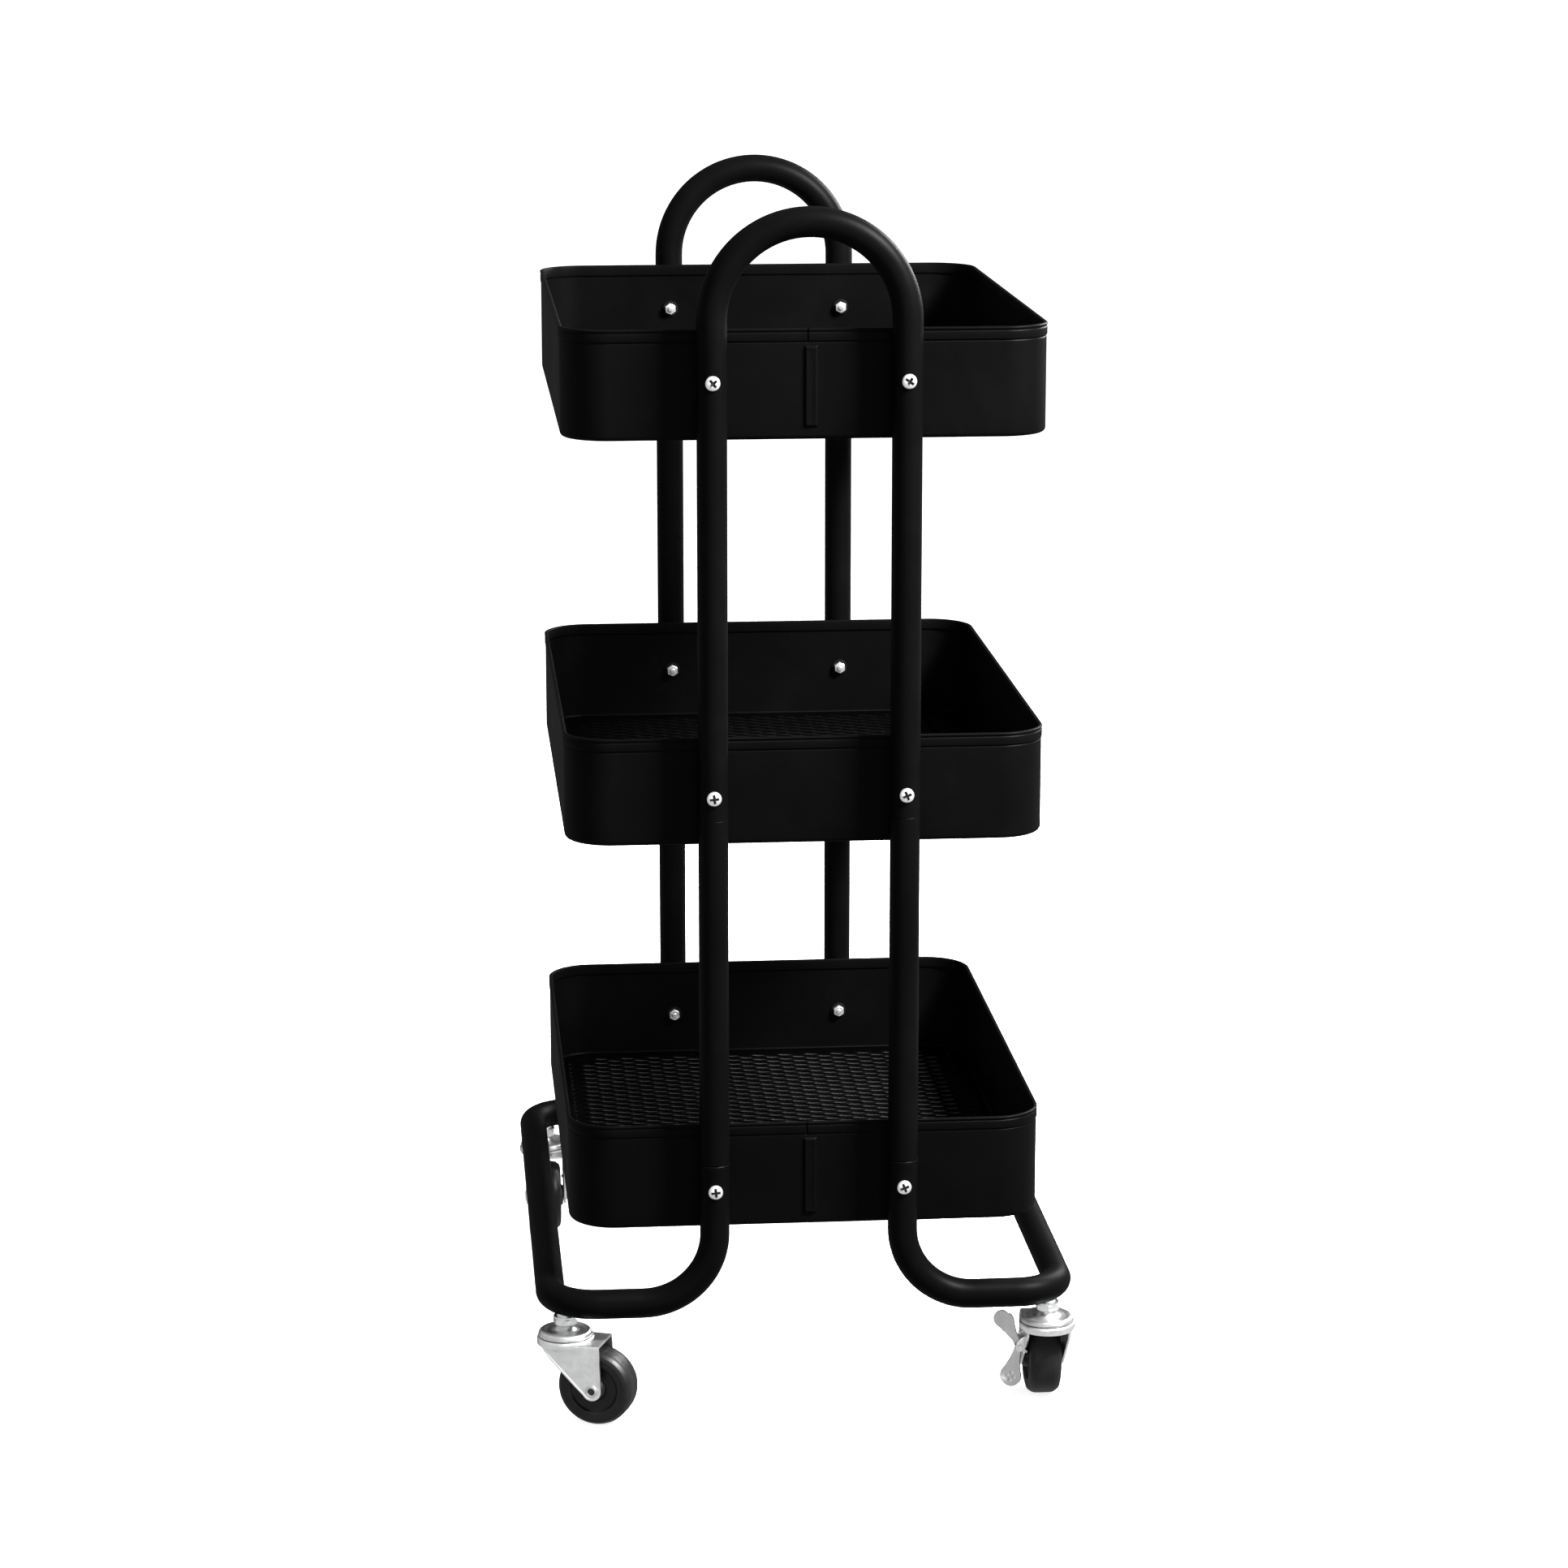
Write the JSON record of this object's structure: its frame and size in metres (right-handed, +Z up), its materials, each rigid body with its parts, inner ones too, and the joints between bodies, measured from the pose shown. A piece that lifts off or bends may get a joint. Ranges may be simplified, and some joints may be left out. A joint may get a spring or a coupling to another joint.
{
  "type": "rolling pantry cart",
  "caption": "Narrow tiered rolling cart with sheet-metal baskets, mesh floors, arched tube handles and swivel casters, some with brakes, for kitchen storage.",
  "frame": {"origin": "on the floor, at the bottom centre of the whole cart's box", "axes": "+Z up, +Y from the front handle to the rear handle along the longer side of the baskets, +X to the right when looking along +Y"},
  "size_m": [0.3502, 0.4568, 0.78],
  "materials": {
    "black_powder_coat": "satin black powder coat, very fine texture",
    "black_nylon": "matte moulded nylon",
    "zinc_plate": "bright zinc plate on pressed and cold-headed steel",
    "wheel_plastic": "hard black wheel plastic, slightly glossy with a moulded texture"
  },
  "bodies": {
    "frame": {"handle_front": "black_powder_coat", "handle_rear": "black_powder_coat", "upright_front_left": "black_powder_coat", "upright_front_right": "black_powder_coat", "upright_rear_left": "black_powder_coat", "upright_rear_right": "black_powder_coat", "base_tube_left": "black_powder_coat", "base_tube_right": "black_powder_coat", "basket_wall_top": "black_powder_coat", "basket_wall_middle": "black_powder_coat", "basket_wall_bottom": "black_powder_coat", "basket_floor_top": "black_powder_coat", "basket_floor_middle": "black_powder_coat", "basket_floor_bottom": "black_powder_coat", "saddle_pads_top": "black_nylon", "saddle_pads_middle": "black_nylon", "saddle_pads_bottom": "black_nylon", "screws_top": "zinc_plate", "screws_middle": "zinc_plate", "screws_bottom": "zinc_plate", "washers_top": "black_nylon", "washers_middle": "black_nylon", "washers_bottom": "black_nylon", "nuts_top": "zinc_plate", "nuts_middle": "zinc_plate", "nuts_bottom": "zinc_plate", "caster_inserts": "zinc_plate", "stem_front_left": "zinc_plate", "stem_front_right": "zinc_plate", "stem_rear_left": "zinc_plate", "stem_rear_right": "zinc_plate", "race_cap_front_left": "zinc_plate", "race_cap_front_right": "zinc_plate", "race_cap_rear_left": "zinc_plate", "race_cap_rear_right": "zinc_plate"},
    "caster_front_left": {"fork_front_left": "zinc_plate", "race_balls_front_left": "zinc_plate", "axle_front_left": "zinc_plate"},
    "roller_front_left": {"wheel_front_left": "wheel_plastic"},
    "caster_front_right": {"fork_front_right": "zinc_plate", "race_balls_front_right": "zinc_plate", "axle_front_right": "zinc_plate", "brake_pin_front_right": "zinc_plate"},
    "roller_front_right": {"wheel_front_right": "wheel_plastic"},
    "brake_front_right": {"brake_lever_front_right": "zinc_plate"},
    "caster_rear_left": {"fork_rear_left": "zinc_plate", "race_balls_rear_left": "zinc_plate", "axle_rear_left": "zinc_plate", "brake_pin_rear_left": "zinc_plate"},
    "roller_rear_left": {"wheel_rear_left": "wheel_plastic"},
    "brake_rear_left": {"brake_lever_rear_left": "zinc_plate"},
    "caster_rear_right": {"fork_rear_right": "zinc_plate", "race_balls_rear_right": "zinc_plate", "axle_rear_right": "zinc_plate"},
    "roller_rear_right": {"wheel_rear_right": "wheel_plastic"}
  },
  "joints": [
    {"name": "caster_front_left_swivel", "type": "hinge", "parent": "frame", "child": "caster_front_left", "pos_m": [-0.15671, -0.20321, 0.056], "axis": [0, 0, 1], "continuous": true},
    {"name": "wheel_front_left_spin", "type": "hinge", "parent": "caster_front_left", "child": "roller_front_left", "pos_m": [-0.13617, -0.2111, 0.025], "axis": [0.3584, 0.9336, 0], "continuous": true},
    {"name": "caster_front_right_swivel", "type": "hinge", "parent": "frame", "child": "caster_front_right", "pos_m": [0.15671, -0.20321, 0.056], "axis": [0, 0, 1], "continuous": true},
    {"name": "wheel_front_right_spin", "type": "hinge", "parent": "caster_front_right", "child": "roller_front_right", "pos_m": [0.15671, -0.18121, 0.025], "axis": [-1, 0, 0], "continuous": true},
    {"name": "brake_front_right_press", "type": "hinge", "parent": "caster_front_right", "child": "brake_front_right", "pos_m": [0.13931, -0.19701, 0.038], "axis": [0, -1, 0], "range_deg": [0, 12]},
    {"name": "caster_rear_left_swivel", "type": "hinge", "parent": "frame", "child": "caster_rear_left", "pos_m": [-0.15671, 0.20321, 0.056], "axis": [0, 0, 1], "continuous": true},
    {"name": "wheel_rear_left_spin", "type": "hinge", "parent": "caster_rear_left", "child": "roller_rear_left", "pos_m": [-0.15671, 0.18121, 0.025], "axis": [1, 0, 0], "continuous": true},
    {"name": "brake_rear_left_press", "type": "hinge", "parent": "caster_rear_left", "child": "brake_rear_left", "pos_m": [-0.13931, 0.19701, 0.038], "axis": [0, 1, 0], "range_deg": [0, 12]},
    {"name": "caster_rear_right_swivel", "type": "hinge", "parent": "frame", "child": "caster_rear_right", "pos_m": [0.15671, 0.20321, 0.056], "axis": [0, 0, 1], "continuous": true},
    {"name": "wheel_rear_right_spin", "type": "hinge", "parent": "caster_rear_right", "child": "roller_rear_right", "pos_m": [0.13617, 0.2111, 0.025], "axis": [-0.3584, -0.9336, 0], "continuous": true}
  ]
}
